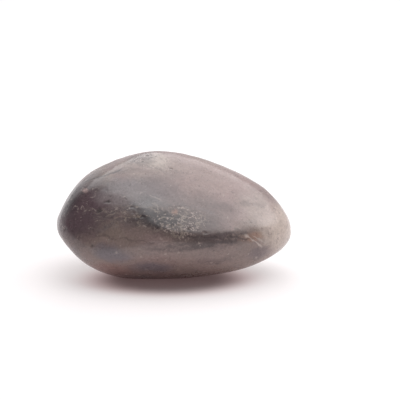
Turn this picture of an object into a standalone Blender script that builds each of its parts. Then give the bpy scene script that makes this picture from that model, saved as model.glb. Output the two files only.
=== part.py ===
"""A tumbled stone: one solid, a lopsided egg with softly worn faces and a small flat foot.

Frame: metres, +Z up. The origin is on the surface that the stone rests on, under the middle of
its box. +X runs along the stone to its narrow end, and -Y is its broad, sloping side.
"""
import math

import bmesh
import bpy
from mathutils import Vector

MM = 0.001

# The rough egg, before wear: half sizes from its middle, with the widest girth below mid-height
HALF_LENGTH = 16.7 * MM
HALF_WIDTH = 11.0 * MM
HEIGHT_ABOVE = 10.8 * MM
HEIGHT_BELOW = 8.2 * MM
WIDTH_TAPER = 0.18  # share by which the narrow end is slimmer, and the blunt end broader
HEIGHT_TAPER = 0.10
TIP_DROP = 0.3 * MM  # how far the narrow end hangs below the middle

FOOT_DEPTH = 6.6 * MM  # from the middle down to the plane of the foot

SPHERE_LEVEL = 5  # subdivisions of the starting ico sphere

# Faces worn by tumbling. Each has the azimuth (from +X towards +Y) and the elevation of its
# normal in degrees, its distance from the middle, and the width of its rounded border.
WORN_FACES = {
    "long_slope": (0, 68.5, 9.95 * MM, 0.6 * MM),
    "over_the_tip": (0, 38, 14.1 * MM, 0.8 * MM),
    "short_slope": (180, 66.5, 11.35 * MM, 0.6 * MM),
    "blunt_shoulder": (180, 32, 14.5 * MM, 0.9 * MM),
    "broad_front": (-69, 53, 7.7 * MM, 0.5 * MM),
    "front_cheek": (-110, 25, 10.9 * MM, 0.5 * MM),
    "above_the_cheek": (-98, 50, 9.35 * MM, 0.5 * MM),
    "beside_the_tip": (-45, 45, 10.1 * MM, 0.6 * MM),
    "under_blunt_end": (180, -45, 11.45 * MM, 0.9 * MM),
    "under_tip": (0, -76, 7.4 * MM, 0.6 * MM),
    "crown": (90, 90, 11.1 * MM, 0.6 * MM),
    "front_under": (-90, -50, 8.0 * MM, 0.7 * MM),
    "back_under": (100, -55, 7.7 * MM, 0.8 * MM),
    "back_slope": (100, 42, 10.8 * MM, 0.9 * MM),
    "sole": (0, -90, 7.3 * MM, 0.8 * MM),
}
BULGE_KEPT = 0.12  # share of the rough egg's bulge that a worn face keeps, so none is dead flat

STONE_COLOUR = (0.23, 0.19, 0.185, 1.0)
STONE_ROUGHNESS = 0.32


def clear_scene():
    for item in list(bpy.data.objects):
        bpy.data.objects.remove(item, do_unlink=True)


def direction(azimuth, elevation):
    """Unit vector for an azimuth from +X and an elevation from the ground, in degrees."""
    turn = math.radians(azimuth)
    tilt = math.radians(elevation)
    return Vector((math.cos(tilt) * math.cos(turn), math.cos(tilt) * math.sin(turn), math.sin(tilt)))


def rough_egg(unit):
    """Move a point of the unit sphere onto the rough egg."""
    width = HALF_WIDTH * (1.0 - WIDTH_TAPER * unit.x)
    height = HEIGHT_ABOVE if unit.z > 0.0 else HEIGHT_BELOW
    height *= 1.0 - HEIGHT_TAPER * unit.x
    return Vector((HALF_LENGTH * unit.x, width * unit.y, height * unit.z - TIP_DROP * unit.x))


def worn(point, azimuth, elevation, distance, border):
    """Push a point back to a worn face, with a rounded border instead of an edge."""
    normal = direction(azimuth, elevation)
    proud = (point.dot(normal) - distance) / border
    depth = border * (max(proud, 0.0) + math.log1p(math.exp(-abs(proud))))
    return point - normal * depth * (1.0 - BULGE_KEPT)


def stone_surface(unit):
    point = rough_egg(unit)
    for azimuth, elevation, distance, border in WORN_FACES.values():
        point = worn(point, azimuth, elevation, distance, border)
    return point


def cut_foot(mesh):
    """Cut the underside off level and close it with one flat face."""
    cut = bmesh.ops.bisect_plane(
        mesh,
        geom=mesh.verts[:] + mesh.edges[:] + mesh.faces[:],
        dist=0.0,
        plane_co=(0.0, 0.0, -FOOT_DEPTH),
        plane_no=(0.0, 0.0, -1.0),
        clear_outer=True,
    )
    rim = [item for item in cut["geom_cut"] if isinstance(item, bmesh.types.BMEdge)]
    bmesh.ops.contextual_create(mesh, geom=rim)
    bmesh.ops.recalc_face_normals(mesh, faces=mesh.faces[:])


def stand_on_origin(mesh):
    """Put the foot on the ground and the middle of the box over the origin."""
    xs = [vert.co.x for vert in mesh.verts]
    ys = [vert.co.y for vert in mesh.verts]
    shift = Vector((-(min(xs) + max(xs)) / 2.0, -(min(ys) + max(ys)) / 2.0, FOOT_DEPTH))
    bmesh.ops.translate(mesh, verts=mesh.verts[:], vec=shift)


def stone_material():
    material = bpy.data.materials.new("polished_stone")
    material.use_nodes = True
    shader = material.node_tree.nodes["Principled BSDF"]
    shader.inputs["Base Color"].default_value = STONE_COLOUR
    shader.inputs["Roughness"].default_value = STONE_ROUGHNESS
    shader.inputs["Metallic"].default_value = 0.0
    return material


def make_stone(collection):
    bpy.ops.mesh.primitive_ico_sphere_add(subdivisions=SPHERE_LEVEL, radius=1.0)
    stone = bpy.context.active_object
    stone.name = "tumbled_stone"
    stone.data.name = "tumbled_stone"

    mesh = bmesh.new()
    mesh.from_mesh(stone.data)
    for vert in mesh.verts:
        vert.co = stone_surface(vert.co.normalized())
    cut_foot(mesh)
    stand_on_origin(mesh)
    mesh.to_mesh(stone.data)
    mesh.free()

    stone.data.shade_smooth()
    stone.data.set_sharp_from_angle(angle=math.radians(40))
    stone.data.materials.append(stone_material())
    for home in list(stone.users_collection):
        home.objects.unlink(stone)
    collection.objects.link(stone)


def main():
    clear_scene()
    collection = bpy.data.collections.new("tumbled_stone")
    bpy.context.scene.collection.children.link(collection)
    make_stone(collection)


main()
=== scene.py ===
import bmesh
import bpy
import math
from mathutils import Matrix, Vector


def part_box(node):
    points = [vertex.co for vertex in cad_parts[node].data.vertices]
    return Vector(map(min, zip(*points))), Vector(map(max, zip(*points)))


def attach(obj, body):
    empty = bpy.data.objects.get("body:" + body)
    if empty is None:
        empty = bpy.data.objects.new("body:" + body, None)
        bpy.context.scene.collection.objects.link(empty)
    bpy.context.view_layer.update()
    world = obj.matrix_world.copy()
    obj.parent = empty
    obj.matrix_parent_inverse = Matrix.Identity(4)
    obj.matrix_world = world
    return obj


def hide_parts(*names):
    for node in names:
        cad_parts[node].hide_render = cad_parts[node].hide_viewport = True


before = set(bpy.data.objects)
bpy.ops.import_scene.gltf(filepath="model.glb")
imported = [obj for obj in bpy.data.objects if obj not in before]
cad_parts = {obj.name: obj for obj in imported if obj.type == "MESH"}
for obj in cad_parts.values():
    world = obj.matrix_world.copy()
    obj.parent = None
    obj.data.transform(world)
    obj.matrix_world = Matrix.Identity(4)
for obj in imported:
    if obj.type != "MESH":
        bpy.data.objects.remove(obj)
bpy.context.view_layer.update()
mm = 0.001
scene = bpy.context.scene
lowest, highest = (Vector(corner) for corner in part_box("tumbled_stone"))


def at(along, across, up):
    # a place on the stone in mm, from shares of its half length, half width and height
    half = (highest - lowest) / 2
    return Vector((along * half.x, across * half.y, up * half.z * 2)) / mm


def tint(red, green, blue):
    # a linear colour from 0-255 values
    parts = [part / 255 for part in (red, green, blue)]
    linear = [part / 12.92 if part <= 0.04045 else ((part + 0.055) / 1.055) ** 2.4 for part in parts]
    return (*linear, 1.0)


def place(tree, kind, inputs=None, **settings):
    # one node with its settings, each input either a value or the socket that feeds it
    node = tree.nodes.new(kind)
    for name, value in settings.items():
        setattr(node, name, value)
    for key, value in (inputs or {}).items():
        if isinstance(value, bpy.types.NodeSocket):
            tree.links.new(value, node.inputs[key])
        else:
            node.inputs[key].default_value = value
    return node


def calc(tree, operation, *values):
    return place(tree, "ShaderNodeMath", dict(enumerate(values)), operation=operation).outputs[0]


def chained(tree, operation, *values):
    # one operation over any number of values, such as a product or the largest
    result = values[0]
    for value in values[1:]:
        result = calc(tree, operation, result, value)
    return result


def vectorCalc(tree, operation, *values):
    node = place(tree, "ShaderNodeVectorMath", dict(enumerate(values)), operation=operation)
    return node.outputs["Value" if operation in ("LENGTH", "DOT_PRODUCT") else "Vector"]


def scaled(tree, vector, factor):
    inputs = {0: vector, "Scale": factor}
    return place(tree, "ShaderNodeVectorMath", inputs, operation="SCALE").outputs["Vector"]


def ramp(tree, value, fromMin, fromMax, toMin=0.0, toMax=1.0):
    inputs = {"Value": value, "From Min": fromMin, "From Max": fromMax, "To Min": toMin, "To Max": toMax}
    return place(tree, "ShaderNodeMapRange", inputs, interpolation_type="SMOOTHSTEP").outputs["Result"]


def noise(tree, vector, scale, detail=2.0, roughness=0.5, distortion=0.0):
    inputs = {"Vector": vector, "Scale": scale, "Detail": detail, "Roughness": roughness,
              "Distortion": distortion}
    return place(tree, "ShaderNodeTexNoise", inputs)


def mix(tree, weight, under, top):
    node = place(tree, "ShaderNodeMix", {0: weight, 6: under, 7: top}, data_type="RGBA")
    return node.outputs[2]


def sockets(tree, ins, outs):
    # an input is its name, kind and value, and an output its name and kind, as in NodeSocketFloat
    for name, kind, value in ins:
        socket = tree.interface.new_socket(name, in_out="INPUT", socket_type="NodeSocket" + kind)
        if value is not None:
            socket.default_value = value
    for name, kind in outs:
        tree.interface.new_socket(name, in_out="OUTPUT", socket_type="NodeSocket" + kind)
    return tree.nodes.new("NodeGroupInput").outputs, tree.nodes.new("NodeGroupOutput").inputs


def use(tree, group, inputs):
    # a group node, in a shader tree or a geometry tree
    kind = "ShaderNodeGroup" if tree.bl_idname == "ShaderNodeTree" else "GeometryNodeGroup"
    return place(tree, kind, inputs, node_tree=group).outputs[0]


def softPatchGroup(kind):
    # an ellipsoid of rock whose edge fades out
    tree = bpy.data.node_groups.new("soft patch", kind)
    ins, outs = sockets(tree, [
        ("Point", "Vector", None),
        ("Centre", "Vector", None),
        ("Reach", "Vector", None),
        ("Edge", "Float", 0.4),
    ], [("Mask", "Float")])
    away = vectorCalc(tree, "SUBTRACT", ins["Point"], ins["Centre"])
    distance = vectorCalc(tree, "LENGTH", vectorCalc(tree, "DIVIDE", away, ins["Reach"]))
    inner = calc(tree, "SUBTRACT", 1.0, ins["Edge"])
    outer = calc(tree, "ADD", 1.0, ins["Edge"])
    tree.links.new(ramp(tree, distance, inner, outer, 1.0, 0.0), outs["Mask"])
    return tree


# how cracks and veins wander and swell: noises with scales per mm, shares of a line's width and
# length, and the depth in mm at which its sheet of rock ends
lineHabit = {
    "bend": {"scale": 0.55, "detail": 3.0, "roughness": 0.6},
    "swelling": {"scale": 0.9, "detail": 2.0},
    "swellingLevels": (0.35, 0.65),
    "narrowest": 0.35,
    "widest": 1.5,
    "fullWidth": 0.2,
    "fullLength": 0.6,
    "fadeDeep": -3.0,
    "fadeShallow": -2.0,
    "overrun": 1.2,
}


def fineLineGroup(kind):
    # a crack or a vein: a thin wobbling sheet of rock that shows as a line
    tree = bpy.data.node_groups.new("fine line", kind)
    ins, outs = sockets(tree, [
        ("Point", "Vector", None),
        ("Middle", "Vector", None),
        ("Along", "Vector", None),
        ("Across", "Vector", None),
        ("Outward", "Vector", None),
        ("Half Length", "Float", 3.0),
        ("Width", "Float", 0.2),
        ("Wobble", "Float", 0.4),
    ], [("Mask", "Float")])
    bend = noise(tree, ins["Point"], **lineHabit["bend"]).outputs[0]
    shift = calc(tree, "MULTIPLY", calc(tree, "SUBTRACT", bend, 0.5), ins["Wobble"])
    away = vectorCalc(tree, "SUBTRACT", ins["Point"], ins["Middle"])
    sideways = calc(tree, "ADD", vectorCalc(tree, "DOT_PRODUCT", away, ins["Across"]), shift)
    lengthways = calc(tree, "ABSOLUTE", vectorCalc(tree, "DOT_PRODUCT", away, ins["Along"]))
    swelling = noise(tree, ins["Point"], **lineHabit["swelling"]).outputs[0]
    swelling = ramp(tree, swelling, *lineHabit["swellingLevels"], lineHabit["narrowest"], lineHabit["widest"])
    width = calc(tree, "MULTIPLY", ins["Width"], swelling)
    fullWidth = calc(tree, "MULTIPLY", width, lineHabit["fullWidth"])
    thin = ramp(tree, calc(tree, "ABSOLUTE", sideways), fullWidth, width, 1.0, 0.0)
    fullLength = calc(tree, "MULTIPLY", ins["Half Length"], lineHabit["fullLength"])
    short = ramp(tree, lengthways, fullLength, ins["Half Length"], 1.0, 0.0)
    depth = vectorCalc(tree, "DOT_PRODUCT", away, ins["Outward"])
    near = ramp(tree, depth, lineHabit["fadeDeep"], lineHabit["fadeShallow"])
    tree.links.new(chained(tree, "MULTIPLY", thin, short, near), outs["Mask"])
    return tree


def fleckGroup(kind):
    # scattered specks, each a small share of the cell that holds it
    tree = bpy.data.node_groups.new("flecks", kind)
    ins, outs = sockets(tree, [
        ("Point", "Vector", None),
        ("Size", "Float", 0.5),
        ("Share", "Float", 0.1),
        ("Fill", "Float", 0.45),
    ], [("Mask", "Float")])
    scale = calc(tree, "DIVIDE", 1.0, ins["Size"])
    cells = place(tree, "ShaderNodeTexVoronoi", {"Vector": ins["Point"], "Scale": scale})
    luck = place(tree, "ShaderNodeSeparateXYZ", {0: cells.outputs["Color"]}).outputs["X"]
    chosen = calc(tree, "LESS_THAN", luck, ins["Share"])
    heart = calc(tree, "MULTIPLY", ins["Fill"], 0.5)
    body = ramp(tree, cells.outputs["Distance"], heart, ins["Fill"], 1.0, 0.0)
    tree.links.new(calc(tree, "MULTIPLY", chosen, body), outs["Mask"])
    return tree


# a second noise keeps some of the curls, and a finer one breaks those up
curlHabit = {
    "elsewhere": (31.0, 17.0, 5.0),  # how far off, in mm, the second noise is read
    "fewest": 0.72,  # its level that keeps no curl, lowered by the gain times the share
    "gain": 0.44,
    "gateEdge": 0.05,
    "crumbScale": 5.0,  # times the scale of the curls
    "crumbFrom": 0.44,
    "crumbTo": 0.54,
}


def curlGroup(kind):
    # short thin curved marks, from the level lines of a noise
    tree = bpy.data.node_groups.new("curls", kind)
    ins, outs = sockets(tree, [
        ("Point", "Vector", None),
        ("Size", "Float", 1.5),
        ("Width", "Float", 0.03),
        ("Share", "Float", 0.3),
    ], [("Mask", "Float")])
    scale = calc(tree, "DIVIDE", 1.0, ins["Size"])
    levels = noise(tree, ins["Point"], scale, detail=2.0, roughness=0.55).outputs[0]
    fromMiddle = calc(tree, "ABSOLUTE", calc(tree, "SUBTRACT", levels, 0.5))
    line = ramp(tree, fromMiddle, 0.0, ins["Width"], 1.0, 0.0)
    elsewhere = vectorCalc(tree, "ADD", ins["Point"], curlHabit["elsewhere"])
    gate = noise(tree, elsewhere, scale, detail=1.0).outputs[0]
    gain = calc(tree, "MULTIPLY", ins["Share"], curlHabit["gain"])
    edge = calc(tree, "SUBTRACT", curlHabit["fewest"], gain)
    kept = ramp(tree, gate, edge, calc(tree, "ADD", edge, curlHabit["gateEdge"]))
    crumbScale = calc(tree, "MULTIPLY", scale, curlHabit["crumbScale"])
    crumbs = noise(tree, elsewhere, crumbScale, detail=2.0).outputs[0]
    broken = ramp(tree, crumbs, curlHabit["crumbFrom"], curlHabit["crumbTo"])
    tree.links.new(chained(tree, "MULTIPLY", line, kept, broken), outs["Mask"])
    return tree


def netGroup(kind):
    # a net of thin broken seams between grains
    tree = bpy.data.node_groups.new("grain net", kind)
    ins, outs = sockets(tree, [
        ("Point", "Vector", None),
        ("Size", "Float", 1.0),
        ("Width", "Float", 0.08),
        ("Broken From", "Float", 0.46),
        ("Broken To", "Float", 0.58),
    ], [("Mask", "Float")])
    inputs = {"Vector": ins["Point"], "Scale": calc(tree, "DIVIDE", 1.0, ins["Size"])}
    cells = place(tree, "ShaderNodeTexVoronoi", inputs, feature="DISTANCE_TO_EDGE")
    seam = ramp(tree, cells.outputs["Distance"], 0.0, ins["Width"], 1.0, 0.0)
    gate = noise(tree, ins["Point"], inputs["Scale"], detail=2.0).outputs[0]
    kept = ramp(tree, gate, ins["Broken From"], ins["Broken To"])
    tree.links.new(calc(tree, "MULTIPLY", seam, kept), outs["Mask"])
    return tree


# cracks, veins and streaks: width and wobble in mm, strength of the colour, and groove in mm
lines = {
    "hairline": {
        "start": at(-0.76, -0.2, 0.79), "end": at(-0.42, -0.2, 0.9), "outward": (0.0, -0.97, 0.24),
        "width": 0.17, "wobble": 1.0, "shade": "darkFleck", "strength": 0.7, "groove": 0.0,
    },
    "paleScratch": {
        "start": at(-0.21, -0.65, 0.77), "end": at(-0.11, -0.71, 0.735), "outward": (0.0, -0.9, 0.4),
        "width": 0.14, "wobble": 0.9, "shade": "paleFleck", "strength": 0.25, "groove": 0.0,
    },
    "secondScratch": {
        "start": at(-0.16, -0.71, 0.727), "end": at(-0.12, -0.78, 0.663), "outward": (0.0, -0.9, 0.4),
        "width": 0.14, "wobble": 0.9, "shade": "paleFleck", "strength": 0.25, "groove": 0.0,
    },
    "whiteStreak": {
        "start": at(0.595, -0.71, 0.44), "end": at(0.74, -0.575, 0.32), "outward": (0.4, -0.85, -0.1),
        "width": 0.24, "wobble": 0.5, "shade": "paleFleck", "strength": 0.75, "groove": 0.05,
    },
    "secondStreak": {
        "start": at(0.66, -0.67, 0.42), "end": at(0.77, -0.56, 0.345), "outward": (0.4, -0.85, -0.1),
        "width": 0.15, "wobble": 0.6, "shade": "paleFleck", "strength": 0.5, "groove": 0.03,
    },
    "seamCrack": {
        "start": at(0.05, -0.93, 0.49), "end": at(0.68, -0.68, 0.40), "outward": (0.1, -0.95, 0.1),
        "width": 0.16, "wobble": 1.6, "shade": "darkFleck", "strength": 0.5, "groove": 0.05,
    },
    "lowerCrack": {
        "start": at(-0.85, -0.72, 0.47), "end": at(0.1, -0.95, 0.42), "outward": (-0.2, -0.95, 0.0),
        "width": 0.13, "wobble": 1.8, "shade": "darkFleck", "strength": 0.3, "groove": 0.02,
    },
    "backVein": {
        "start": at(-0.45, 0.75, 0.7), "end": at(0.5, 0.8, 0.42), "outward": (0.0, 0.95, 0.2),
        "width": 0.15, "wobble": 1.9, "shade": "paleFleck", "strength": 0.4, "groove": 0.02,
    },
    "backCrack": {
        "start": at(-0.2, 0.3, 0.98), "end": at(0.35, 0.8, 0.6), "outward": (0.1, 0.7, 0.7),
        "width": 0.14, "wobble": 1.8, "shade": "darkFleck", "strength": 0.4, "groove": 0.05,
    },
}


def lineMask(tree, group, point, line):
    start, end = Vector(line["start"]), Vector(line["end"])
    along = (end - start).normalized()
    outward = Vector(line["outward"]).normalized()
    return use(tree, group, {
        "Point": point, "Middle": (start + end) / 2,
        "Along": along, "Across": along.cross(outward).normalized(), "Outward": outward,
        "Half Length": (end - start).length / 2 * lineHabit["overrun"],
        "Width": line["width"], "Wobble": line["wobble"],
    })


blank = {
    "mergeDistance": 0.001 * mm,
    "smoothSubdivision": 2,
    "voxel": 0.17 * mm,
}

# the wear tree's inputs, with sizes in mm
wear = {
    "Smoothing": 4,
    "Swell Size": 7.0,
    "Swell Height": 0.16,
    "Dent Size": 1.7,
    "Dent Height": 0.065,
    "Foot Level": 0.02,
    "Foot Rise": 0.5,
    "Seed": 4,
}

# clusters of pits: reach, spacing, radius and depth in mm, and density in pits per square mm
pitClusters = {
    "crown": {"centre": at(-0.22, -0.06, 0.98), "reach": (3.4, 3.0, 2.0), "density": 3.4, "spacing": 0.4,
              "radius": 0.27, "depth": 0.08, "stretch": (1.5, 1.0, 1.0)},
    "cheek": {"centre": at(-0.5, -0.78, 0.65), "reach": (5.6, 3.0, 1.5), "density": 1.1, "spacing": 0.75,
              "radius": 0.42, "depth": 0.1, "stretch": (2.2, 1.0, 1.0)},
    "flecked": {"centre": at(0.06, -0.83, 0.59), "reach": (2.8, 2.5, 1.8), "density": 2.2, "spacing": 0.5,
                "radius": 0.34, "depth": 0.08, "stretch": (1.0, 1.0, 1.0)},
    "seam": {"centre": at(0.45, -0.8, 0.42), "reach": (6.5, 3.0, 1.3), "density": 0.9, "spacing": 0.8,
             "radius": 0.44, "depth": 0.09, "stretch": (2.6, 1.0, 1.0)},
    "bluntEnd": {"centre": at(-0.9, -0.35, 0.55), "reach": (4.0, 6.0, 4.0), "density": 0.25, "spacing": 1.1,
                 "radius": 0.4, "depth": 0.08, "stretch": (1.0, 1.0, 1.0)},
    "back": {"centre": at(0.1, 0.85, 0.5), "reach": (8.0, 3.0, 2.4), "density": 0.7, "spacing": 0.8,
             "radius": 0.45, "depth": 0.1, "stretch": (2.0, 1.0, 1.0)},
    "allOver": {"centre": at(0.0, 0.0, 0.5), "reach": (30.0, 30.0, 30.0), "density": 0.07, "spacing": 1.4,
                "radius": 0.4, "depth": 0.07, "stretch": (1.0, 1.0, 1.0)},
}


def makeBlank():
    # the frame's solid, with its loose triangles merged, on an even fine mesh
    stone = bpy.data.objects.new("polished_stone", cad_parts["tumbled_stone"].data.copy())
    scene.collection.objects.link(stone)
    mesh = bmesh.new()
    mesh.from_mesh(stone.data)
    bmesh.ops.remove_doubles(mesh, verts=mesh.verts[:], dist=blank["mergeDistance"])
    mesh.to_mesh(stone.data)
    mesh.free()
    stone.data.materials.clear()
    smooth = stone.modifiers.new("smooth", "SUBSURF")
    smooth.levels = smooth.render_levels = blank["smoothSubdivision"]
    even = stone.modifiers.new("even", "REMESH")
    even.mode = "VOXEL"
    even.voxel_size = blank["voxel"]
    return bakeDown(stone)


def bakeDown(stone):
    # the evaluated object becomes a plain mesh, and its modifiers go
    evaluated = stone.evaluated_get(bpy.context.evaluated_depsgraph_get())
    plain = bpy.data.meshes.new_from_object(evaluated)
    stone.modifiers.clear()
    stone.data = plain
    plain.name = stone.name
    return stone


# how the pits of a cluster differ: many small ones and few large, with ragged rims
pitHabit = {
    "clusterEdge": 0.35,
    "smallest": 0.35,
    "fewLarge": 2.5,
    "rim": {"scale": 1.8, "detail": 3.0},
    "rimWander": 0.9,
    "floorShare": 0.15,
}


def pitGroup(softPatch):
    # pits strewn over one patch of the surface: how deep the nearest one is at each point, in mm
    tree = bpy.data.node_groups.new("pits", "GeometryNodeTree")
    ins, outs = sockets(tree, [
        ("Surface", "Geometry", None),
        ("Centre", "Vector", None),
        ("Reach", "Vector", None),
        ("Density", "Float", 1.0),
        ("Spacing", "Float", 0.7),
        ("Radius", "Float", 0.4),
        ("Depth", "Float", 0.1),
        ("Stretch", "Vector", (1.0, 1.0, 1.0)),
        ("Seed", "Int", 0),
    ], [("Depth", "Float")])
    position = place(tree, "GeometryNodeInputPosition").outputs[0]
    point = scaled(tree, position, 1.0 / mm)
    inside = use(tree, softPatch, {
        "Point": point, "Centre": ins["Centre"], "Reach": ins["Reach"], "Edge": pitHabit["clusterEdge"],
    })
    perSquareMetre = calc(tree, "DIVIDE", ins["Density"], mm * mm)
    strewn = place(tree, "GeometryNodeDistributePointsOnFaces", {
        "Mesh": ins["Surface"], "Distance Min": calc(tree, "MULTIPLY", ins["Spacing"], mm),
        "Density Max": perSquareMetre, "Density Factor": inside, "Seed": ins["Seed"],
    }, distribute_method="POISSON")
    points = strewn.outputs["Points"]

    nearest = place(tree, "GeometryNodeSampleNearest", {"Geometry": points}, domain="POINT").outputs["Index"]
    sample = {"Geometry": points, "Index": nearest}
    where = place(tree, "GeometryNodeSampleIndex", sample, data_type="FLOAT_VECTOR")
    tree.links.new(point, where.inputs["Value"])
    luck = place(tree, "FunctionNodeRandomValue", {"Seed": ins["Seed"]}, data_type="FLOAT")
    dice = place(tree, "GeometryNodeSampleIndex", sample, data_type="FLOAT")
    tree.links.new(luck.outputs["Value"], dice.inputs["Value"])

    rare = calc(tree, "POWER", dice.outputs[0], pitHabit["fewLarge"])
    growth = calc(tree, "MULTIPLY", 1.0 - pitHabit["smallest"], rare)
    size = calc(tree, "ADD", pitHabit["smallest"], growth)
    wander = scaled(tree, noise(tree, point, **pitHabit["rim"]).outputs["Color"], pitHabit["rimWander"])
    middle = vectorCalc(tree, "ADD", where.outputs[0], (pitHabit["rimWander"] / 2,) * 3)
    away = vectorCalc(tree, "SUBTRACT", vectorCalc(tree, "ADD", point, wander), middle)
    distance = vectorCalc(tree, "LENGTH", vectorCalc(tree, "DIVIDE", away, ins["Stretch"]))
    reach = calc(tree, "MULTIPLY", ins["Radius"], size)
    hollow = ramp(tree, distance, calc(tree, "MULTIPLY", reach, pitHabit["floorShare"]), reach, 1.0, 0.0)
    tree.links.new(chained(tree, "MULTIPLY", hollow, size, ins["Depth"]), outs["Depth"])
    return tree


def wearTree():
    tree = bpy.data.node_groups.new("worn surface", "GeometryNodeTree")
    ins, outs = sockets(tree, [
        ("Geometry", "Geometry", None),
        ("Material", "Material", None),
        ("Smoothing", "Int", 4),
        ("Swell Size", "Float", 7.0),
        ("Swell Height", "Float", 0.1),
        ("Dent Size", "Float", 2.0),
        ("Dent Height", "Float", 0.05),
        ("Foot Level", "Float", 0.02),
        ("Foot Rise", "Float", 0.5),
        ("Seed", "Int", 0),
    ], [("Geometry", "Geometry")])

    position = place(tree, "GeometryNodeInputPosition").outputs[0]
    times = {"Iterations": ins["Smoothing"]}
    blur = place(tree, "GeometryNodeBlurAttribute", times, data_type="FLOAT_VECTOR")
    tree.links.new(position, blur.inputs["Value"])
    softened = {"Geometry": ins["Geometry"], "Position": blur.outputs["Value"]}
    smooth = place(tree, "GeometryNodeSetPosition", softened).outputs[0]
    point = scaled(tree, position, 1.0 / mm)

    # long swells and small dents: a noise strays half a unit either way, so twice that is a full height
    swell = noise(tree, point, calc(tree, "DIVIDE", 1.0, ins["Swell Size"]), detail=1.0)
    dent = noise(tree, point, calc(tree, "DIVIDE", 1.0, ins["Dent Size"]), detail=2.0, roughness=0.45)
    swellShift = calc(tree, "MULTIPLY", calc(tree, "SUBTRACT", swell.outputs[0], 0.5), ins["Swell Height"])
    dentShift = calc(tree, "MULTIPLY", calc(tree, "SUBTRACT", dent.outputs[0], 0.5), ins["Dent Height"])
    shift = calc(tree, "MULTIPLY", calc(tree, "ADD", swellShift, dentShift), 2.0)

    # pits, cluster by cluster
    pits = pitGroup(softPatchGroup("GeometryNodeTree"))
    pitDepth = 0.0
    for number, cluster in enumerate(pitClusters.values()):
        depth = use(tree, pits, {
            "Surface": smooth, "Centre": cluster["centre"], "Reach": cluster["reach"],
            "Density": cluster["density"], "Spacing": cluster["spacing"], "Radius": cluster["radius"],
            "Depth": cluster["depth"], "Stretch": cluster["stretch"],
            "Seed": calc(tree, "ADD", ins["Seed"], float(number)),
        })
        pitDepth = calc(tree, "MAXIMUM", pitDepth, depth)

    # grooves along the cracks and streaks
    fineLine = fineLineGroup("GeometryNodeTree")
    grooveDepth = 0.0
    for line in lines.values():
        depth = calc(tree, "MULTIPLY", lineMask(tree, fineLine, point, line), line["groove"])
        grooveDepth = calc(tree, "MAXIMUM", grooveDepth, depth)
    sunk = calc(tree, "SUBTRACT", shift, calc(tree, "MAXIMUM", pitDepth, grooveDepth))

    # the foot stays level, and the marks fade in above it
    height = place(tree, "ShaderNodeSeparateXYZ", {0: point}).outputs["Z"]
    clear = ramp(tree, height, ins["Foot Level"], ins["Foot Rise"])
    normal = place(tree, "GeometryNodeInputNormal").outputs[0]
    offset = scaled(tree, normal, chained(tree, "MULTIPLY", sunk, clear, mm))
    noted = place(tree, "GeometryNodeStoreNamedAttribute", {
        "Geometry": smooth, "Name": "pit", "Value": calc(tree, "MULTIPLY", pitDepth, clear),
    }, data_type="FLOAT", domain="POINT")
    marked = place(tree, "GeometryNodeSetPosition", {"Geometry": noted.outputs[0], "Offset": offset})

    smoothShade = place(tree, "GeometryNodeSetShadeSmooth", {"Geometry": marked.outputs[0]})
    real = place(tree, "GeometryNodeRealizeInstances", {"Geometry": smoothShade.outputs[0]})
    covering = {"Geometry": real.outputs[0], "Material": ins["Material"]}
    tree.links.new(place(tree, "GeometryNodeSetMaterial", covering).outputs[0], outs["Geometry"])
    return tree


def wearDown(stone, material):
    modifier = stone.modifiers.new("wear", "NODES")
    modifier.node_group = wearTree()
    for item in modifier.node_group.interface.items_tree:
        if item.name in wear:
            modifier[item.identifier] = wear[item.name]
        elif item.name == "Material":
            modifier[item.identifier] = material
    return bakeDown(stone)


# the polish, how far in mm the pattern wanders, where its noises are cut, and the rock's colours
rock = {
    "ior": 1.54,
    "gloss": 0.22,
    "glossChange": 0.1,
    "pitRoughness": 0.5,
    "warp": 3.2,
    "raggedness": 0.9,
    "grainwise": (0.3, 0.75, 1.0),
    "grainLevels": (0.3, 0.7),
    "grainDarkest": 0.84,
    "grainLightest": 1.14,
    "crumbleLevels": (0.36, 0.56),
    "crumbleLeast": 0.25,
    "smearLevels": (0.35, 0.7),
    "pitDarkFrom": 0.01,
    "pitDarkTo": 0.07,
    "pitDarkStrength": 0.6,
    "scratchStrength": 0.12,
    "scratchDepth": 0.03 * mm,
    "mauveGrey": (134, 114, 112),
    "taupe": (129, 113, 106),
    "pinkGrey": (152, 128, 125),
    "blueGrey": (112, 110, 118),
    "darkBand": (90, 77, 79),
    "paleFleck": (192, 177, 169),
    "darkFleck": (62, 52, 54),
    "speckle": (178, 160, 153),
    "netOlive": (150, 136, 126),
    "pitDarkening": (52, 42, 42),
}

# noises, with scales per mm
rockNoises = {
    "drift": {"scale": 0.22, "detail": 6.0, "roughness": 0.7},
    "clouds": {"scale": 0.16, "detail": 4.0, "roughness": 0.6},
    "mottle": {"scale": 0.45, "detail": 5.0, "roughness": 0.62},
    "bands": {"scale": 0.32, "detail": 6.0, "roughness": 0.65, "distortion": 0.6},
    "crumble": {"scale": 1.3, "detail": 5.0, "roughness": 0.7},
    "grain": {"scale": 1.0 / 0.28, "detail": 3.0, "roughness": 0.7},
    "jitter": {"scale": 2.2, "detail": 2.0, "roughness": 0.6},
    "smear": {"scale": 0.35, "detail": 4.0, "roughness": 0.65},
    "scratches": {"scale": 5.0, "detail": 3.0, "roughness": 0.6},
}

# broad tones: the noise, the levels of it that the tone fades in between, and its strength
rockTones = {
    "taupe": ("clouds", 0.4, 0.62, 1.0),
    "pinkGrey": ("mottle", 0.48, 0.7, 0.6),
    "blueGrey": ("mottle", 0.46, 0.3, 0.5),
    "darkBand": ("bands", 0.52, 0.68, 0.5),
}

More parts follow.
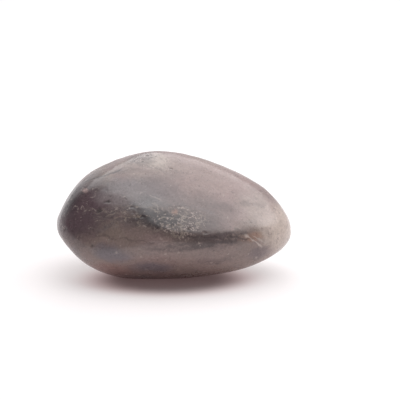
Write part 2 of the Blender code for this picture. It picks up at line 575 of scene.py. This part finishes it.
# small marks, in the order that they lie over each other; "within" limits a mark to some patches
rockMarks = {
    "paleFlecks": {
        "pattern": "flecks", "on": "ragged", "moved": (0.0, 0.0, 0.0), "within": (),
        "sizes": {"Size": 0.55, "Share": 0.06, "Fill": 0.4}, "shade": "paleFleck", "strength": 0.4,
    },
    "darkFlecks": {
        "pattern": "flecks", "on": "ragged", "moved": (0.0, 0.0, 0.0), "within": (),
        "sizes": {"Size": 0.42, "Share": 0.07, "Fill": 0.45}, "shade": "darkFleck", "strength": 0.4,
    },
    "paleSpeckle": {
        "pattern": "flecks", "on": "ragged", "moved": (0.0, 0.0, 0.0),
        "within": ("flecked", "crownPale", "crownDark"),
        "sizes": {"Size": 0.34, "Share": 0.5, "Fill": 0.5}, "shade": "speckle", "strength": 0.75,
    },
    "darkSpeckle": {
        "pattern": "flecks", "on": "ragged", "moved": (5.0, 8.0, 2.0),
        "within": ("flecked", "crownPale", "crownDark"),
        "sizes": {"Size": 0.36, "Share": 0.4, "Fill": 0.5}, "shade": "darkFleck", "strength": 0.7,
    },
    "paleCurls": {
        "pattern": "curls", "on": "grainwise", "moved": (0.0, 0.0, 0.0),
        "within": ("cheekDark", "bluntWine", "backWine"),
        "sizes": {"Size": 1.1, "Width": 0.03, "Share": 0.6}, "shade": "paleFleck", "strength": 0.5,
    },
    "oliveNet": {
        "pattern": "net", "on": "grainwise", "moved": (0.0, 0.0, 0.0),
        "within": ("cheekDark", "flecked", "backSeam"),
        "sizes": {"Size": 0.62, "Width": 0.13}, "shade": "netOlive", "strength": 0.7,
    },
    "darkCurls": {
        "pattern": "curls", "on": "grainwise", "moved": (9.0, 3.0, 4.0), "within": (),
        "sizes": {"Size": 1.6, "Width": 0.025, "Share": 0.4}, "shade": "darkFleck", "strength": 0.3,
    },
}

# soft-edged patches: centre, reach in mm, edge, colour, strength; a few are painted highlights, reflections
# and shade
rockPatches = {
    "lowerTaupe": (at(0.0, -0.85, 0.28), (13.0, 5.0, 3.2), 0.4, (138, 120, 116), 0.7),
    "upperPink": (at(0.33, -0.2, 0.85), (7.5, 6.0, 3.4), 0.5, (151, 128, 125), 0.7),
    "glassyBlue": (at(-0.36, -0.62, 0.76), (6.0, 3.4, 2.2), 0.45, (118, 113, 117), 0.7),
    "bluntWine": (at(-0.86, -0.5, 0.61), (5.6, 6.5, 3.8), 0.4, (88, 70, 77), 0.9),
    "cheekDark": (at(-0.38, -0.85, 0.61), (7.0, 3.0, 1.35), 0.45, (99, 88, 89), 0.8),
    "blueLobe": (at(-0.22, -0.72, 0.68), (2.2, 2.2, 1.5), 0.5, (110, 109, 111), 0.5),
    "middleShade": (at(0.22, -0.7, 0.66), (5.0, 3.6, 2.8), 0.5, (104, 92, 91), 0.65),
    "aboveSeam": (at(0.08, -0.85, 0.53), (5.6, 3.0, 1.1), 0.5, (76, 66, 66), 0.65),
    # painted highlight: a lighter patch on the crown, where the softbox reflects
    "paintedCrownHighlight": (at(-0.12, -0.32, 0.935), (5.0, 3.5, 1.7), 0.5, (164, 150, 144), 0.45),
    "seamDark": (at(0.37, -0.85, 0.44), (5.8, 3.4, 0.95), 0.45, (80, 69, 69), 0.9),
    "lowerSeam": (at(0.12, -0.93, 0.4), (5.0, 3.0, 0.55), 0.5, (80, 68, 68), 0.75),
    "tipTan": (at(0.92, -0.3, 0.42), (3.4, 5.0, 3.2), 0.5, (200, 184, 174), 0.8),
    # painted reflection: a pale patch near the tip, where the softbox shows as an upright glow
    "paintedTipReflection": (at(0.72, -0.35, 0.6), (3.0, 3.6, 2.4), 0.5, (184, 167, 162), 0.45),
    "greyFlank": (at(-0.1, -0.5, 0.81), (2.8, 2.8, 1.7), 0.5, (106, 92, 93), 0.6),
    "flecked": (at(0.04, -0.83, 0.58), (3.6, 2.6, 2.1), 0.4, (90, 77, 75), 0.75),
    "orangeFleck": (at(0.0, -0.76, 0.65), (0.4, 0.5, 0.42), 0.7, (186, 142, 122), 0.6),
    # painted reflection: a warm brown tone low on the front, along the underside
    "paintedWarmUnderReflection": (at(-0.56, -0.65, 0.13), (3.4, 3.0, 1.6), 0.5, (134, 103, 97), 0.6),
    "blueLowLeft": (at(-0.5, -0.9, 0.31), (2.6, 2.0, 1.4), 0.5, (104, 101, 112), 0.6),
    "blueLowMiddle": (at(-0.18, -0.76, 0.18), (2.4, 2.0, 1.3), 0.5, (98, 94, 104), 0.6),
    "streakRust": (at(0.67, -0.65, 0.41), (1.9, 1.6, 0.5), 0.6, (158, 122, 104), 0.55),
    "tipShade": (at(0.72, -0.56, 0.26), (2.2, 2.0, 0.9), 0.5, (104, 92, 97), 0.6),
    "crownPale": (at(-0.13, -0.1, 0.97), (1.7, 1.6, 1.5), 0.5, (184, 172, 164), 0.6),
    "crownDark": (at(-0.27, -0.05, 0.97), (1.8, 1.6, 1.5), 0.5, (102, 94, 94), 0.6),
    "backWine": (at(-0.6, 0.75, 0.5), (6.0, 4.0, 3.5), 0.5, (86, 71, 75), 0.75),
    "backBlue": (at(0.35, 0.7, 0.6), (6.0, 4.0, 2.4), 0.5, (112, 110, 117), 0.6),
    "backSeam": (at(0.2, 0.95, 0.4), (9.0, 3.0, 1.1), 0.4, (78, 68, 69), 0.75),
    "diagonalDark": (at(-0.11, -0.82, 0.59), (3.3, 2.2, 1.05), 0.5, (48, 40, 42), 0.85),
    # painted reflection: a lighter patch that carries the softbox's reflection further down the left front
    "paintedReflectionEdge": (at(-0.48, -0.71, 0.735), (3.4, 2.4, 1.0), 0.5, (142, 131, 131), 0.6),
    "lobeEdge": (at(-0.17, -0.8, 0.625), (1.7, 2.0, 0.75), 0.5, (50, 43, 47), 0.65),
    "endShade": (at(-0.88, -0.2, 0.68), (2.1, 4.0, 2.4), 0.5, (54, 45, 49), 0.8),
    "shoulderShade": (at(-0.7, -0.27, 0.82), (2.6, 3.0, 1.5), 0.5, (84, 73, 76), 0.65),
    "notchPale": (at(-0.745, -0.42, 0.765), (0.4, 0.6, 0.42), 0.5, (178, 148, 143), 0.7),
    "notchDark": (at(-0.775, -0.42, 0.735), (0.45, 0.6, 0.3), 0.4, (58, 46, 50), 0.7),
    # painted shade: darker towards the foot, where the stone meets the floor
    "paintedFootShade": (at(0.0, 0.1, 0.0), (9.0, 6.0, 2.0), 0.5, (118, 103, 100), 0.5),
}
crumblyPatches = ("seamDark", "lowerSeam", "cheekDark", "backSeam")


def rockMaterial(softPatch):
    material = bpy.data.materials.new("polished_rock")
    material.use_nodes = True
    tree = material.node_tree
    shader = tree.nodes["Principled BSDF"]
    shader.inputs["IOR"].default_value = rock["ior"]
    fineLine = fineLineGroup("ShaderNodeTree")
    patterns = {"flecks": fleckGroup("ShaderNodeTree"), "curls": curlGroup("ShaderNodeTree"),
                "net": netGroup("ShaderNodeTree")}

    def cloud(where, name, output=0):
        return noise(tree, where, **rockNoises[name]).outputs[output]

    def layer(under, shade, mask, strength):
        return mix(tree, calc(tree, "MULTIPLY", mask, strength), under, tint(*shade))

    coordinates = place(tree, "ShaderNodeTexCoord").outputs["Object"]
    point = scaled(tree, coordinates, 1.0 / mm)
    drift = vectorCalc(tree, "SUBTRACT", cloud(point, "drift", "Color"), (0.5, 0.5, 0.5))
    warped = vectorCalc(tree, "ADD", point, scaled(tree, drift, rock["warp"]))
    grainwise = vectorCalc(tree, "MULTIPLY", warped, rock["grainwise"])  # bands run along the stone
    jitter = scaled(tree, cloud(point, "jitter", "Color"), rock["raggedness"])
    where = {"ragged": vectorCalc(tree, "ADD", point, jitter), "grainwise": grainwise}
    clouds = {"clouds": cloud(warped, "clouds"), "mottle": cloud(grainwise, "mottle"),
              "bands": cloud(grainwise, "bands")}

    def toned(under, name):
        source, low, high, strength = rockTones[name]
        return layer(under, rock[name], ramp(tree, clouds[source], low, high), strength)

    # the body of the rock: mauve-grey, clouded, patched and banded; some patches are painted highlights,
    # reflections and shade
    colour = tint(*rock["mauveGrey"])
    for name in ("taupe", "pinkGrey", "blueGrey"):
        colour = toned(colour, name)
    crumble = ramp(tree, cloud(grainwise, "crumble"), *rock["crumbleLevels"], rock["crumbleLeast"], 1.0)
    masks = {}
    for name, (centre, reach, edge, shade, strength) in rockPatches.items():
        masks[name] = use(tree, softPatch, {"Point": warped, "Centre": centre, "Reach": reach, "Edge": edge})
        mask = calc(tree, "MULTIPLY", masks[name], crumble) if name in crumblyPatches else masks[name]
        colour = layer(colour, shade, mask, strength)
    colour = toned(colour, "darkBand")

    # fine light and dark grain
    grain = cloud(point, "grain")
    grain = ramp(tree, grain, *rock["grainLevels"], rock["grainDarkest"], rock["grainLightest"])
    colour = scaled(tree, colour, grain)

    # flecks, speckle, curls and the net of seams
    for mark in rockMarks.values():
        moved = vectorCalc(tree, "ADD", where[mark["on"]], mark["moved"])
        mask = use(tree, patterns[mark["pattern"]], {"Point": moved, **mark["sizes"]})
        if mark["within"]:
            inside = chained(tree, "MAXIMUM", *[masks[name] for name in mark["within"]])
            mask = calc(tree, "MULTIPLY", mask, inside)
        colour = layer(colour, rock[mark["shade"]], mask, mark["strength"])

    # cracks and streaks, then a darker colour in the pits
    for line in lines.values():
        colour = layer(colour, rock[line["shade"]], lineMask(tree, fineLine, point, line), line["strength"])
    pit = place(tree, "ShaderNodeAttribute", attribute_name="pit").outputs["Fac"]
    pitted = ramp(tree, pit, rock["pitDarkFrom"], rock["pitDarkTo"])
    colour = layer(colour, rock["pitDarkening"], pitted, rock["pitDarkStrength"])
    tree.links.new(colour, shader.inputs["Base Color"])

    # polish: duller in the pits and over cloudy patches
    dullest = rock["gloss"] + rock["glossChange"]
    dullness = ramp(tree, cloud(point, "smear"), *rock["smearLevels"], rock["gloss"], dullest)
    pitDullness = calc(tree, "MULTIPLY", pitted, rock["pitRoughness"] - rock["gloss"])
    tree.links.new(calc(tree, "ADD", dullness, pitDullness), shader.inputs["Roughness"])

    # a faint grain and hairline scratches in the polish
    bump = place(tree, "ShaderNodeBump", {
        "Height": cloud(point, "scratches"), "Strength": rock["scratchStrength"],
        "Distance": rock["scratchDepth"],
    })
    tree.links.new(bump.outputs[0], shader.inputs["Normal"])
    return material


floorLook = {
    "size": 3.0,
    "colour": (0.45, 0.446, 0.45, 1.0),
    "roughness": 0.7,
    "specular": 0.2,
    "glowColour": (1.0, 0.93, 0.93, 1.0),
    # painted shadow under the stone: its tint, the glow there, and the soft ellipse that it fills
    "paintedShadowColour": (1.0, 0.62, 0.62, 1.0),
    "glowInTheOpen": 0.49,
    "glowInPaintedShadow": 0.08,
    "paintedShadow": {"Centre": (-0.7, -3.7, 0.0), "Reach": (9.8, 6.4, 10.0), "Edge": 0.5},  # mm
}


def makeFloor(softPatch):
    # a pale sweep that glows like one lit from below, with a painted shadow where the stone stands: there the
    # glow drops and turns pinkish brown
    bpy.ops.mesh.primitive_plane_add(size=floorLook["size"])
    floor = bpy.context.active_object
    floor.name = "studio_floor"
    material = bpy.data.materials.new("pale_floor")
    material.use_nodes = True
    tree = material.node_tree
    shader = tree.nodes["Principled BSDF"]
    shader.inputs["Base Color"].default_value = floorLook["colour"]
    shader.inputs["Roughness"].default_value = floorLook["roughness"]
    shader.inputs["Specular IOR Level"].default_value = floorLook["specular"]
    point = scaled(tree, place(tree, "ShaderNodeTexCoord").outputs["Object"], 1.0 / mm)
    paintedShadowMask = use(tree, softPatch, {"Point": point, **floorLook["paintedShadow"]})
    glow = ramp(tree, paintedShadowMask, 0.0, 1.0, floorLook["glowInTheOpen"], floorLook["glowInPaintedShadow"])
    glowTint = mix(tree, paintedShadowMask, floorLook["glowColour"], floorLook["paintedShadowColour"])
    tree.links.new(glowTint, shader.inputs["Emission Color"])
    tree.links.new(glow, shader.inputs["Emission Strength"])
    floor.data.materials.append(material)


softbox = {
    "place": (0.05, 0.14, 0.34),
    "aim": (0.0, 0.08, 0.008),
    "width": 0.7,
    "depth": 0.55,
    "power": 2.6,
}


def makeSoftbox():
    light = bpy.data.lights.new("softbox", "AREA")
    light.energy = softbox["power"]
    light.shape = "RECTANGLE"
    light.size = softbox["width"]
    light.size_y = softbox["depth"]
    box = bpy.data.objects.new("softbox", light)
    scene.collection.objects.link(box)
    box.location = softbox["place"]
    aim = Vector(softbox["place"]) - Vector(softbox["aim"])
    box.rotation_euler = aim.to_track_quat("Z", "Y").to_euler()


room = {
    "colour": (1.0, 0.995, 1.0, 1.0),
    "brightLevel": 0.7,
    "darkLevel": 0.12,
    "darkSide": (-0.5, -0.83, 0.25),
    "darkFrom": -0.2,
    "darkTo": 0.6,
}


def makeSurround():
    # a white sweep behind the stone and a darker room in front of it
    world = bpy.data.worlds.new("room")
    scene.world = world
    world.use_nodes = True
    tree = world.node_tree
    direction = place(tree, "ShaderNodeTexCoord").outputs["Generated"]
    towardsRoom = vectorCalc(tree, "DOT_PRODUCT", direction, Vector(room["darkSide"]).normalized())
    level = ramp(tree, towardsRoom, room["darkFrom"], room["darkTo"], room["brightLevel"], room["darkLevel"])
    background = tree.nodes["Background"].inputs
    background["Color"].default_value = room["colour"]
    tree.links.new(level, background["Strength"])


lens = {
    "elevation": 14.0,
    "focalLength": 120.0,
    "sensor": 36.0,
    "fieldWidth": 55.4 * mm,
    "target": (3.55 * mm, 0.0, 10.3 * mm),
    "nearest": 0.01,
}


def makeCamera():
    data = bpy.data.cameras.new("camera")
    data.lens = lens["focalLength"]
    data.sensor_width = lens["sensor"]
    camera = bpy.data.objects.new("camera", data)
    scene.collection.objects.link(camera)
    tilt = math.radians(lens["elevation"])
    distance = lens["focalLength"] * lens["fieldWidth"] / lens["sensor"]
    camera.location = Vector(lens["target"]) + Vector((0.0, -math.cos(tilt), math.sin(tilt))) * distance
    camera.rotation_euler = (math.pi / 2 - tilt, 0.0, 0.0)
    data.clip_start = lens["nearest"]
    scene.camera = camera


scene.view_settings.view_transform = "Standard"
softPatch = softPatchGroup("ShaderNodeTree")
makeFloor(softPatch)
makeSoftbox()
makeSurround()
makeCamera()
print("studio ready")

stone = makeBlank()
print("blank:", len(stone.data.polygons), "faces")
stone = wearDown(stone, rockMaterial(softPatch))
print("worn:", len(stone.data.polygons), "faces")

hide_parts("tumbled_stone")
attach(stone, "root")
